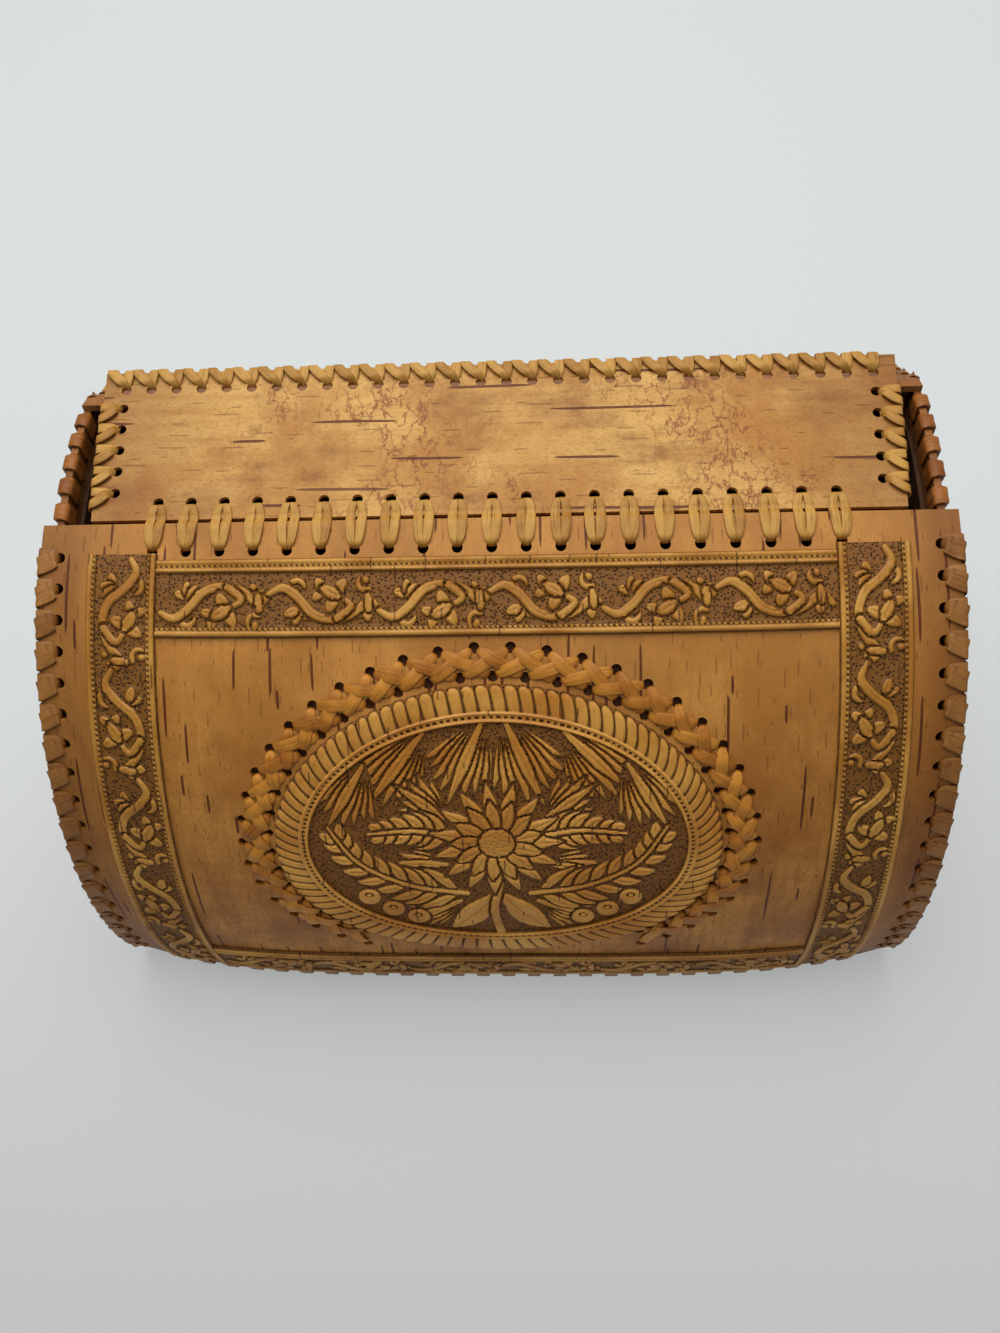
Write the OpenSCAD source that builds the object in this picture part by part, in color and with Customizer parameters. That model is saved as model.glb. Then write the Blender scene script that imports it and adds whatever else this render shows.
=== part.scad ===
// Birch bark box: a barrel-vaulted body of laced bark sheets with a hinged bark flap on top.
// X runs along the box, -Y is the decorated front and +Z is up. The box stands on z = 0.

/* [Body] */
// Length over the outer faces of the two end walls
box_len = 244; // [200:1:300]
// Radius of the round edge of the end walls
end_r = 107; // [90:1:130]
// Height of the centre of that round edge above the floor's upper face
axis_rise = 23; // [12:1:40]
// How far the front sheet reaches past each end wall
front_over = 2.8; // [1.5:0.1:5]
// Angle from the top of the arch to the front sheet's upper edge
front_top = 14.5; // [12:0.5:18]
// Angle from the top of the arch to the back sheet's upper edge
back_top = 8.5; // [7.5:0.5:12]

/* [Sheets] */
// Thickness of the bark sheets of the body
bark_t = 2; // [1.4:0.1:3]
// Thickness of the thin bark that lines the inside
lining_t = 1.2; // [0.8:0.1:2]
// Bare margin that the linings leave along every laced edge
lining_margin = 9; // [8:0.5:14]

/* [Flap] */
// Length of the flap from hinge edge to free edge
flap_len = 49; // [42:0.5:60]
// Gap between the flap and each end wall at its hinge edge
flap_side_near = 8; // [5:0.5:14]
// Gap between the flap and each end wall at its free edge
flap_side_far = 6; // [4:0.5:14]
// Thickness of the flap's outer sheet
flap_t = 1.4; // [1:0.1:2]
// How far the flap's face lies below the front sheet's face at the hinge
flap_step = 0.8; // [0.4:0.1:1.2]

/* [Lacing] */
// Width of the lacing strips
lace_w = 4.2; // [3.2:0.1:5]
// Thickness of the lacing strips
lace_t = 0.8; // [0.5:0.1:1]
// Diameter of the punched holes
hole_d = 3; // [2.6:0.1:3.4]
// Distance of the holes from the edge that they bind
hole_in = 6; // [5:0.25:7]
// Distance between holes along the body's edges
pitch = 8.6; // [7.5:0.1:12]
// Distance between holes along the flap's free edge
flap_pitch = 7.4; // [6.5:0.1:9]
// Distance between holes along the hinge
hinge_pitch = 9.3; // [8:0.1:13]
// Distance from the flap's side to the first hole of the hinge
hinge_end = 18.5; // [12:0.5:30]

/* [Ornament] */
// Width of the upright border bands
band_w = 19.4; // [14:0.2:20]
// Bare margin between the upright bands and the front sheet's side edges
band_margin = 13.6; // [11:0.2:16]
// Width of the top border band, along the arch
band_h = 20.4; // [16:0.2:22]
// Arch length from the front sheet's upper edge to the top band
band_drop = 9.4; // [9:0.2:13]
// Width of the bottom border band, along the arch
band_low_h = 20; // [12:0.5:22]
// Bare margin between the bottom band and the front sheet's foot
band_foot = 7.4; // [7.2:0.1:12]
// Thickness of the border bands
band_t = 0.9; // [0.6:0.1:1.4]
// Full width of the medallion
med_w = 125; // [96:1:128]
// Bare margin between the top band and the medallion, along the arch
med_above = 12.3; // [11.5:0.1:20]
// Bare margin between the medallion and the bottom band, along the arch
med_below = 7.1; // [4:0.1:20]
// Thickness of the medallion plate
med_t = 1; // [0.7:0.1:1.6]
// Height of the feathered rim above the plate
med_rim_t = 0.9; // [0.6:0.1:1.4]
// Width of the feathered rim
med_rim_w = 9.6; // [7:0.2:14]
// Number of feather barbs round the rim
barbs = 60; // [40:2:80]
// Distance from the medallion's edge to the inner ring of holes
med_hole_in = 1.9; // [1.7:0.1:3]
// Distance between the two rings of holes round the medallion
med_ring = 7.4; // [6:0.1:8]
// Number of lacing holes in a whole ring round the medallion
med_holes = 46; // [36:2:52]

/* [Hidden] */
$fn = 96;

gap = 0.12;                       // laced sheets and strips lie this far apart
eps = 0.5;                        // cutters run this far past the faces they cut
peg_w = hole_d * 0.64;            // width of a strip where it is pinched in a hole
floor_z = lace_t + gap;           // underside of the floor, above the strips below it
wall_z = floor_z + bark_t + gap;  // where the walls stand on the floor
axis_z = wall_z + axis_rise;      // centre of the round edge
front_w = box_len + 2 * front_over;
shell_in = end_r + gap;           // inner radius of the front and back sheets
shell_out = shell_in + bark_t;
face_r = shell_out + gap;         // radius that strips and ornament lie on
end_x = box_len / 2;              // outer face of an end wall
end_in_x = end_x - bark_t;        // inner face of an end wall
// angle at which a circle of radius r meets the height z, measured from the top
function foot_angle(r, z) = 90 + asin((axis_z - z) / r);
foot_a = foot_angle(shell_out, wall_z);
foot_r = shell_out * sin(foot_a); // half the depth of the floor
arc = PI / 180 * shell_out;       // length of one degree of arch
top_in_a = hole_in / arc;         // hole distance as an angle
hinge_hole_a = front_top + (hole_in + 1) / arc;

/* ---- places on the arch ---- */
// Angles run from the top of the arch towards the front, and X along the box.
module on_arch() translate([0, 0, axis_z]) rotate([180, -90, 0]) children();
module at_arch(x, a) on_arch() rotate([0, 0, a]) translate([0, 0, x]) children();
module arch_sheet(r0, r1, a0, a1, x0, x1)
    on_arch() rotate([0, 0, a0]) rotate_extrude(angle = a1 - a0)
        translate([r0, x0]) square([r1 - r0, x1 - x0]);
module radial_hole(x, a, r = end_r)
    at_arch(x, a) translate([r - eps, 0, 0]) rotate([0, 90, 0])
        cylinder(h = bark_t + 3 * eps, d = hole_d);
module above(z) intersection() {
    children();
    translate([-end_r * 2, -end_r * 2, z]) cube(end_r * 4);
}

/* ---- rows of stitches: evenly spread places between two ends ---- */
function spread(a, b, step) = let (n = max(1, round(abs(b - a) / step)))
    [for (i = [0 : n]) a + (b - a) * i / n];
row_in = 2 * hole_in;              // a row's last hole from an edge that crosses it
function flap_half(y) = end_in_x
    - (flap_side_near + (flap_side_far - flap_side_near) * y / flap_len);
side_a = spread(front_top + pitch / arc, foot_a - row_in / arc, pitch / arc);
back_a = spread(-back_top - pitch / arc, -foot_a + row_in / arc, pitch / arc);
rim_a = spread(-back_top + lace_w / arc, front_top - 1.5 * lace_w / arc, pitch / arc);
hinge_x = spread(-flap_half(0) + hinge_end, flap_half(0) - hinge_end, hinge_pitch);
back_top_x = spread(-end_x + row_in, end_x - row_in, pitch);
foot_x = spread(-end_x + row_in, end_x - row_in, pitch);
foot_y = spread(-foot_r + 1.5 * row_in, foot_r - 1.5 * row_in, pitch);

/* ---- lacing strips ---- */
function unit(v) = v / norm(v);
function left_of(v) = [-v[1], v[0]];
function turn(p, q, r) = let (m = left_of(unit(q - p)), n = left_of(unit(r - q)))
    (m + n) / (1 + m * n);
function shifted(path, h) = let (e = len(path) - 1) [for (i = [0 : e]) path[i] + h *
    (i == 0 ? left_of(unit(path[1] - path[0]))
    : i == e ? left_of(unit(path[e] - path[e - 1]))
    : turn(path[i - 1], path[i], path[i + 1]))];
function reversed(list) = [for (i = [len(list) - 1 : -1 : 0]) list[i]];
// A strip of width w that follows a path in the XY plane, centred on z = 0.
module strip(path, w) linear_extrude(height = w, center = true)
    polygon(concat(shifted(path, lace_t / 2), reversed(shifted(path, -lace_t / 2))));

lift = gap + lace_t / 2;          // from a face to the middle of the strip on it
// A loop round the edge of a sheet. The edge is at x = 0, the sheet lies at x > 0
// from y = -t to y = 0, and the loop passes through a hole at x = d.
module loop(t, d) {
    strip([[d + lace_t / 2, -t - lift], [-lift, -t - lift], [-lift, lift],
        [d + lace_t / 2, lift]], lace_w);
    strip([[d, lift], [d, -t - lift]], peg_w);
}
// A stitch that binds the front or back sheet to an end wall, in the plane of X (as x)
// and the radius (as y), where the sheet reaches past the wall's outer face by over.
hole_r = end_r - hole_in;         // radius of the holes in the end walls
peg_x = end_in_x - lift - gap;    // x of the holes in the front and back sheets
module corner_stitch(over) {
    wall_x = end_x + lift;
    knee = over > 0 ? [[wall_x + over, end_r - 1], [wall_x, end_r - 1 - over]] : [];
    strip(concat([[peg_x - lace_t / 2, shell_out + lift], [wall_x + over, shell_out + lift]],
        knee, [[wall_x, hole_r - lace_t / 2]]), lace_w);
    strip([[peg_x, shell_out + lift], [peg_x, hole_r], [wall_x, hole_r]], peg_w);
}
// A stitch that binds a sheet to the floor, in the plane of the distance from the middle
// (as x) and the height (as y): path runs down the sheet's outer face from its hole,
// hole_at is the hole's inner mouth, and edge is the floor's edge.
function floor_hole_at(edge) = edge - hole_in - bark_t;
module foot_stitch(path, hole_at, edge) {
    under = floor_z - lift;
    in = floor_hole_at(edge);
    strip(concat(path, [[edge + lift, under], [in - lace_t / 2, under]]), lace_w);
    strip([path[0], hole_at, [in, wall_z + lift], [in, under]], peg_w);
}
function on_circle(r, a) = [r * sin(a), axis_z + r * cos(a)];
foot_hole_a = foot_a - top_in_a;           // holes above the floor, as an angle
module sheet_foot_stitch() foot_stitch([on_circle(shell_out + lift, foot_hole_a),
    [foot_r + lift, wall_z]], on_circle(shell_in - lift, foot_hole_a), foot_r);
module wall_foot_stitch() foot_stitch([[end_x + lift, wall_z + hole_in]],
    [end_in_x - lift, wall_z + hole_in], end_x);
module sided(side) mirror([side > 0 ? 0 : 1, 0, 0]) children();
module corner_row(angles, side, over) sided(side) for (a = angles)
    at_arch(0, a) rotate([-90, -90, 0]) corner_stitch(over);
module rim_row(angles, side) sided(side) for (a = angles)
    at_arch(end_x, a) translate([end_r, 0, 0]) rotate([90, 0, 180]) loop(bark_t, hole_in);

/* ---- body sheets ---- */
module end_wall(side) color([0.66, 0.45, 0.25]) difference() {
    above(wall_z) at_arch(side > 0 ? end_in_x : -end_x, 0)
        cylinder(h = bark_t, r = end_r);
    for (a = concat(side_a, back_a, rim_a)) wall_hole(side, a);
    for (y = foot_y) translate([side * (end_in_x - eps), y, wall_z + hole_in])
        rotate([0, side * 90, 0]) cylinder(h = bark_t + 2 * eps, d = hole_d);
}
module wall_hole(side, a) at_arch(side > 0 ? end_in_x - eps : -end_x - eps, a)
    translate([end_r - hole_in, 0, 0]) cylinder(h = bark_t + 2 * eps, d = hole_d);

lining_out = end_in_x - gap;      // outer face of an end lining
lining_r = end_r - lining_margin; // its radius
module end_lining(side) color([0.5, 0.33, 0.18])
    above(wall_z + lining_margin) at_arch(side > 0 ? lining_out - lining_t : -lining_out, 0)
        cylinder(h = lining_t, r = lining_r);

module floor_panel() color([0.6, 0.41, 0.23]) difference() {
    translate([-end_x, -foot_r, floor_z]) cube([box_len, 2 * foot_r, bark_t]);
    for (x = foot_x, s = [-1, 1]) floor_hole(x, s * floor_hole_at(foot_r));
    for (y = foot_y, s = [-1, 1]) floor_hole(s * floor_hole_at(end_x), y);
}
module floor_hole(x, y) translate([x, y, floor_z - eps])
    cylinder(h = bark_t + 2 * eps, d = hole_d);
module floor_lining() color([0.5, 0.33, 0.18]) {
    half_x = floor_hole_at(end_x) - lining_margin / 2;
    half_y = floor_hole_at(foot_r) - lining_margin / 2;
    translate([-half_x, -half_y, wall_z]) cube([2 * half_x, 2 * half_y, lining_t]);
}

module front_panel() color([0.68, 0.46, 0.25]) difference() {
    above(wall_z) arch_sheet(shell_in, shell_out, front_top, foot_a + 4,
        -front_w / 2, front_w / 2);
    for (x = hinge_x) radial_hole(x, hinge_hole_a);
    for (a = side_a, s = [-1, 1]) radial_hole(s * peg_x, a);
    for (x = foot_x) radial_hole(x, foot_hole_a);
    for (i = ring_outer) radial_hole(ring_at(i, 1)[0], ring_at(i, 1)[1]);
    for (i = ring_inner) radial_hole(ring_at(i, 0)[0], ring_at(i, 0)[1]);
}
module front_lining() color([0.5, 0.33, 0.18]) {
    reach = lining_out - lining_t - lining_margin;
    arch_sheet(end_r - lining_t, end_r, front_top + 14 / arc, foot_a - 15 / arc,
        -reach, reach);
}
module back_panel() color([0.66, 0.45, 0.25]) difference() {
    above(wall_z) arch_sheet(shell_in, shell_out, -foot_a - 4, -back_top, -end_x, end_x);
    for (x = back_top_x) radial_hole(x, -back_top - top_in_a);
    for (a = back_a, s = [-1, 1]) radial_hole(s * peg_x, a);
    for (x = foot_x) radial_hole(x, -foot_hole_a);
}
module back_lining() color([0.5, 0.33, 0.18]) {
    reach = lining_out - lining_t - lining_margin;
    arch_sheet(end_r - lining_t, end_r, -foot_a + 15 / arc, -back_top - 14 / arc,
        -reach, reach);
}

/* ---- flap ---- */
lip = gap + lace_t;                        // what a strip adds to a sheet's face
hinge_gap = 2 * lip + 0.8;                 // between the two laced edges at the hinge
hinge_a = front_top - hinge_gap / 2 / arc; // the hinge line, halfway across that gap
hinge_r = shell_out + lip + 0.2;           // just clear of the strips
hinge_at = [-hinge_r * sin(hinge_a), axis_z + hinge_r * cos(hinge_a)];
flap_drop = hinge_r - shell_out + flap_step;   // from the hinge line to the flap's face
seat_gap = 0.3;
// The flap's slope is found from where its lacing rests on the back sheet's laced edge.
seat_r = shell_out + lip;
seat_at = [seat_r * sin(back_top) - lip * cos(back_top),
    axis_z + seat_r * cos(back_top) + lip * sin(back_top)];
seat_v = seat_at - hinge_at;
flap_under = flap_drop + flap_t + lip + seat_gap;
flap_slope = atan2(seat_v[1], seat_v[0]) + asin(flap_under / norm(seat_v));
flap_far_end = flap_half(flap_len) - hole_in - 0.6;
flap_far_x = spread(-flap_far_end, flap_far_end, flap_pitch);
flap_side_y = spread(flap_len - row_in - 0.3, hole_in + 2.7, flap_pitch);
flap_hinge_in = hole_in - 0.6;             // hinge holes from the flap's edge

// Frame on the flap's outer face, with y = 0 at its hinge edge.
module on_flap() translate([0, hinge_at[0], hinge_at[1]]) rotate([flap_slope, 0, 0])
    translate([0, hinge_gap / 2, -flap_drop]) children();
module flap_outline(margin) polygon([[-flap_half(margin) + margin, margin],
    [flap_half(margin) - margin, margin],
    [flap_half(flap_len - margin) - margin, flap_len - margin],
    [-flap_half(flap_len - margin) + margin, flap_len - margin]]);
module flap_hole(x, y) translate([x, y, -flap_t - eps])
    cylinder(h = flap_t + 2 * eps, d = hole_d);
module flap_panel() color([0.79, 0.6, 0.37]) on_flap() difference() {
    translate([0, 0, -flap_t]) linear_extrude(height = flap_t) flap_outline(0);
    for (x = hinge_x) flap_hole(x, flap_hinge_in);
    for (x = flap_far_x) flap_hole(x, flap_len - hole_in);
    for (y = flap_side_y, s = [-1, 1]) flap_hole(s * (flap_half(y) - hole_in), y);
}
module flap_lining() color([0.5, 0.33, 0.18]) on_flap()
    translate([0, 0, -flap_t - gap - lining_t]) linear_extrude(height = lining_t)
        flap_outline(lining_margin);

/* ---- ornament on the front ---- */
bead = 1.1;                                // width of the raised beads along a band
bead_t = 0.5;
module band(a0, a1, x0, x1, upright) {
    arch_sheet(face_r, face_r + band_t, a0, a1, x0, x1);
    top = face_r + band_t;
    if (upright) for (x = [x0 + bead, x1 - 2 * bead])
        arch_sheet(top, top + bead_t, a0, a1, x, x + bead);
    else for (a = [a0 + bead / arc, a1 - 2 * bead / arc])
        arch_sheet(top, top + bead_t, a, a + bead / arc, x0, x1);
}
band_out_x = front_w / 2 - band_margin;
band_in_x = band_out_x - band_w;
module upright_band(side) color([0.72, 0.52, 0.27]) sided(side)
    band(front_top + (row_end + 0.4) / arc, foot_a - band_foot / arc, band_in_x, band_out_x,
        true);
row_end = hole_in + 1 + lace_t / 2;        // where the hinge strips end on the front sheet
module cross_band(drop, h) color([0.72, 0.52, 0.27])
    band(front_top + drop / arc, front_top + (drop + h) / arc,
        -band_in_x + gap, band_in_x - gap, false);
// Arch length from the front sheet's upper edge to its foot
front_len = (foot_a - front_top) * arc;

band_low_drop = front_len - band_foot - band_low_h;
med_top = band_drop + band_h + med_above;
med_h = band_low_drop - med_below - med_top;
med_a = front_top + (med_top + med_h / 2) / arc;
med_reach = (med_h / 2 + med_rim_w) / arc; // a little more than half of it, as an angle
// An oval drawn on the arch and seen along the radius at its centre, as [X, up].
// The lobes scallop its edge.
function oval(half_w, half_h, steps, lobes = 0, scallop = 0) = [for (i = [0 : steps - 1])
    let (u = 360 * i / steps, k = 1 + scallop * cos(lobes * u))
    [k * half_w * cos(u), shell_out * sin(k * half_h / arc * sin(u))]];
module arch_prism(r0, r1, points) intersection() {
    on_arch() rotate([0, 0, med_a]) rotate([180, -90, 0])
        linear_extrude(height = r1 + eps) polygon(points);
    arch_sheet(r0, r1, med_a - med_reach, med_a + med_reach, -med_w, med_w);
}
med_field_w = med_w / 2 - med_rim_w;
med_field_h = med_h / 2 - med_rim_w * 0.85;
module medallion() color([0.8, 0.6, 0.3]) {
    plate_r = face_r + med_t;
    edge = oval(med_w / 2, med_h / 2, barbs * 4, barbs, 0.008);
    difference() {
        arch_prism(face_r, plate_r + med_rim_t, edge);
        arch_prism(plate_r, plate_r + med_rim_t + eps, oval(med_field_w, med_field_h, 72));
        for (i = [0 : barbs - 1]) barb_cut(360 * (i + 0.5) / barbs);
    }
}
// A slanted cut between two barbs of the feathered rim.
module barb_cut(u) {
    x = (med_w / 2 - med_rim_w * 0.45) * cos(u);
    drop = (med_h / 2 - med_rim_w * 0.4) * sin(u);
    at_arch(x, med_a - drop / arc) translate([face_r + med_t + med_rim_t - 0.45, 0, 0])
        rotate([u + 24, 0, 0]) translate([0, -0.35, -med_rim_w * 0.42])
            cube([2, 0.7, med_rim_w * 0.95]);
}

/* ---- lacing round the medallion ---- */
// Places [X, angle] on the rings: i counts from the side, and the inner ring's holes lie
// half a step on from the outer ones. The rings stop where the bottom band leaves no room.
function ring_at(i, ring) = let (u = 360 * (i + (ring > 0 ? 0 : 0.5)) / med_holes,
    off = med_hole_in + ring * med_ring)
    [(med_w / 2 + off) * cos(u), med_a - (med_h / 2 + off) * sin(u) / arc];
ring_low = front_top + (band_low_drop - lace_w - hole_d / 2) / arc;
function open_ring(ring) = [for (i = [0 : med_holes - 1]) if (
    ring_at(i, 1)[1] < ring_low && (ring > 0 || ring_at(i + 1, 1)[1] < ring_low)) i];
ring_outer = open_ring(1);
ring_inner = open_ring(0);
module cross_strip(p, q, layer) {
    dx = q[0] - p[0];
    dt = (q[1] - p[1]) * arc;
    len = norm([dx, dt]);
    w = lace_w * 0.8;
    at_arch((p[0] + q[0]) / 2, (p[1] + q[1]) / 2) translate([face_r + layer * lip, 0, 0])
        rotate([atan2(-dt, dx), 0, 0]) translate([0, -w / 2, -len / 2])
            cube([lace_t, w, len]);
}
function wrapped(i) = (i + med_holes) % med_holes;
module medallion_lacing() color([0.75, 0.45, 0.18]) for (i = ring_outer) {
    if (len(search(wrapped(i + 1), ring_inner)) > 0)
        cross_strip(ring_at(i, 1), ring_at(wrapped(i + 1), 0), 0);
    if (len(search(wrapped(i - 2), ring_inner)) > 0)
        cross_strip(ring_at(i, 1), ring_at(wrapped(i - 2), 0), 1);
}

/* ---- lacing along the edges ---- */
module laced() color([0.8, 0.6, 0.33]) children();
module flap_row(xs, y, turn_z) laced() on_flap() for (x = xs)
    translate([x, y, 0]) rotate([90, 0, turn_z]) loop(flap_t, hole_in);
module flap_side_lacing(side) laced() on_flap() sided(side) for (y = flap_side_y)
    translate([flap_half(y), y, 0]) rotate([90, 0, 180]) loop(flap_t, hole_in);
module hinge_lacing_flap() laced() on_flap() for (x = hinge_x)
    translate([x, 0, 0]) rotate([90, 0, 90]) loop(flap_t, flap_hinge_in);
// A flat loop on a round sheet touches it at its middle, so it is placed from there.
module hinge_lacing_front() laced() for (x = hinge_x)
    at_arch(x, front_top + (hole_in + 1) / 2 / arc)
        translate([shell_out, -(hole_in + 1) / 2, 0]) rotate([180, 0, 90])
            loop(bark_t, hole_in + 1);
module back_top_lacing() laced() for (x = back_top_x) at_arch(x, -back_top - top_in_a / 2)
    translate([shell_out, hole_in / 2, 0]) rotate([0, 0, -90]) loop(bark_t, hole_in);
module sheet_foot_row(side) laced() for (x = foot_x) translate([x, 0, 0])
    mirror([0, side > 0 ? 1 : 0, 0]) rotate([90, 0, -90]) sheet_foot_stitch();
module wall_foot_row(side) laced() sided(side) for (y = foot_y) translate([0, y, 0])
    rotate([90, 0, 0]) wall_foot_stitch();

floor_panel();
floor_lining();
end_wall(-1);  // end_wall_left
end_wall(1);  // end_wall_right
end_lining(-1);  // end_lining_left
end_lining(1);  // end_lining_right
front_panel();
front_lining();
back_panel();
back_lining();
flap_panel();
flap_lining();
cross_band(band_drop, band_h);  // band_top
cross_band(band_low_drop, band_low_h);  // band_bottom
upright_band(-1);  // band_left
upright_band(1);  // band_right
medallion();
medallion_lacing();
laced() corner_row(side_a, -1, front_over);  // front_lacing_left
laced() corner_row(side_a, 1, front_over);  // front_lacing_right
laced() corner_row(back_a, -1, 0);  // back_lacing_left
laced() corner_row(back_a, 1, 0);  // back_lacing_right
laced() rim_row(rim_a, -1);  // rim_lacing_left
laced() rim_row(rim_a, 1);  // rim_lacing_right
back_top_lacing();
sheet_foot_row(-1);  // foot_lacing_front
sheet_foot_row(1);  // foot_lacing_back
wall_foot_row(-1);  // foot_lacing_left
wall_foot_row(1);  // foot_lacing_right
flap_row(flap_far_x, flap_len, -90);  // flap_lacing_far
flap_side_lacing(-1);  // flap_lacing_left
flap_side_lacing(1);  // flap_lacing_right
hinge_lacing_front();
hinge_lacing_flap();
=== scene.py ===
# %% [markdown]
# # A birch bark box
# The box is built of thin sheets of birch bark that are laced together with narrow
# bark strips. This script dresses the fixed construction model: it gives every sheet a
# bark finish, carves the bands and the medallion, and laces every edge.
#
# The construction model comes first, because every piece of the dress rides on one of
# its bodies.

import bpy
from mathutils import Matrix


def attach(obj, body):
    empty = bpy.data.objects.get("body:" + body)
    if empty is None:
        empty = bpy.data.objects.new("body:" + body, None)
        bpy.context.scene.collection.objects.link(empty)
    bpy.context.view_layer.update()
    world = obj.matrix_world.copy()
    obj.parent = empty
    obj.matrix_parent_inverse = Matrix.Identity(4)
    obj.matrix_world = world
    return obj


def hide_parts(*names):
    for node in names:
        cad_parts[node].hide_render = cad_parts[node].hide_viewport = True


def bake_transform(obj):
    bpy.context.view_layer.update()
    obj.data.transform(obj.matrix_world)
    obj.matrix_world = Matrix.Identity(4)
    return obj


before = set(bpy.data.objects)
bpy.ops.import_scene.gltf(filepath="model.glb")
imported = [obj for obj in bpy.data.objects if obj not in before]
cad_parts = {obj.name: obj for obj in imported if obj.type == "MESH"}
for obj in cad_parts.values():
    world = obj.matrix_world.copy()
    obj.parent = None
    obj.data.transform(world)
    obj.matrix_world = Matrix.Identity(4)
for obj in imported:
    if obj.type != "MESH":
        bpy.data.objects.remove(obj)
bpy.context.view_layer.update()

import bmesh
import bpy
import math
import numpy as np
from mathutils import Matrix, Vector

# %% [markdown]
# ## Sizes
# The sheets are bent round one long axis. A place on the front is given by three
# numbers: x along the box, s down the bark from the sheet's upper edge, and a lift off
# its face. These are a maker's measures, so they stay in millimetres until a mesh is
# made. The real front sheet also bows out a little towards its foot, between the two
# end walls that it is laced to, and the back falls away more steeply than a full round,
# so that it can't be seen over the flap. Bending every piece with one function keeps
# them together, where moving each by hand would leave gaps.

# %% Measures of the bark sheets, in millimetres
AXIS_Z = 26.04                  # height of the axis that the sheets bend round
SHEET_R = 109.12                # outer radius of the front and back sheets
BARK = 2.0                      # thickness of those sheets
HALF_X = 122.0                  # to the outer face of an end wall
WALL_Z = 3.04                   # height at which the walls stand
FRONT_TOP = math.radians(14.5)  # the front sheet's upper edge, from the top of the arch
BACK_TOP = math.radians(8.5)
FOOT = math.pi / 2 + math.asin((AXIS_Z - WALL_Z) / SHEET_R)     # and its foot
FRONT_LEN = (FOOT - FRONT_TOP) * SHEET_R
FOOT_R = SHEET_R * math.sin(FOOT)
BOW = 8.6                       # how far the front bows out at its foot
SLACK = 14.2                    # how far the back's round is pressed in, at its middle
BACK_R = 300.0                  # radius of the back where it is pressed in
HOLE_IN = 6.0                   # from an edge to its row of holes


def bowed(p):
    """Points in millimetres, moved out where the front bows and in at the back."""
    p = np.array(p, float)
    angle = np.arctan2(-p[..., 1], p[..., 2] - AXIS_Z)
    radius = np.hypot(p[..., 1], p[..., 2] - AXIS_Z)
    down = np.clip((angle - FRONT_TOP) / (FOOT - FRONT_TOP), 0, 1)
    down = np.where(p[..., 1] > 0, 0, down)
    along = 1 - np.clip(np.abs(p[..., 0]) / HALF_X, 0, 1) ** 4
    deep = np.clip((radius - 50) / 55, 0, 1)        # nothing moves near the axis
    p[..., 1] -= BOW * down * (1.5 - 0.5 * down) * along * deep
    # The back: a flatter circle cuts the round one, and the two blend at both ends.
    behind = np.degrees(-angle)
    off = np.radians(np.clip(behind, 0, 90) - 45)
    flatter = (np.sqrt(BACK_R ** 2 - ((BACK_R - SHEET_R + SLACK) * np.sin(off)) ** 2)
               - (BACK_R - SHEET_R + SLACK) * np.cos(off))
    press = 1.5 * np.log1p(np.exp((SHEET_R - flatter) / 1.5))
    start, end = np.clip((behind - 8) / 7, 0, 1), np.clip((100 - behind) / 15, 0, 1)
    press *= start * start * (3 - 2 * start) * end * end * (3 - 2 * end) * deep
    p[..., 1] -= press * np.sin(-angle)
    p[..., 2] -= press * np.cos(angle)
    return p


def on_arch(x, angle, radius):
    """Places round the sheets' axis, before the bow."""
    x, angle, radius = np.broadcast_arrays(x, angle, radius)
    return np.stack([x, -radius * np.sin(angle), AXIS_Z + radius * np.cos(angle)], -1)


def on_front(x, s, lift):
    """Places on the bowed front sheet."""
    return bowed(on_arch(x, FRONT_TOP + np.asarray(s, float) / SHEET_R, SHEET_R + lift))


print("front sheet: %.1f mm from its upper edge to its foot" % FRONT_LEN)

# %% [markdown]
# ## Camera, light and floor
# The photograph looks down on the box from close by, with a short lens. Its place was
# worked out from where the corners, rows of holes and round sides of the box appear.
# A large soft lamp above and a pale sky give the soft shadow of a room, and a plain
# floor is enough for a background.

# %% Camera
CAMERA_AT = (0.01792, -0.21801, 0.38015)
YAW, PITCH, ROLL = (math.radians(a) for a in (-5.892, 59.642, -5.748))
FOCAL_PX, LONG_SIDE_PX = 1143.1, 1333

ahead = np.array([math.sin(YAW) * math.cos(PITCH), math.cos(YAW) * math.cos(PITCH),
                  -math.sin(PITCH)])
level = np.array([math.cos(YAW), -math.sin(YAW), 0])
upright = np.cross(level, ahead)
right = math.cos(ROLL) * level + math.sin(ROLL) * upright
up = math.cos(ROLL) * upright - math.sin(ROLL) * level

lens = bpy.data.cameras.new("camera")
lens.sensor_width = 36
lens.lens = FOCAL_PX / LONG_SIDE_PX * lens.sensor_width
lens.clip_start = 0.01
camera = bpy.data.objects.new("camera", lens)
bpy.context.collection.objects.link(camera)
camera.matrix_world = Matrix.Translation(CAMERA_AT) @ Matrix(
    np.stack([right, up, -ahead], 1).tolist()).to_4x4()
bpy.context.scene.camera = camera
print("lens: %.1f mm" % lens.lens)

# %% [markdown]
# The lamp is large, so its shadows are soft, and it stands a little behind the box, as
# the daylight in the photograph does: the flap is bright and the front darkens downwards.
# The world lights the box with a weak sky, and shows the camera a pale wall.

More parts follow.
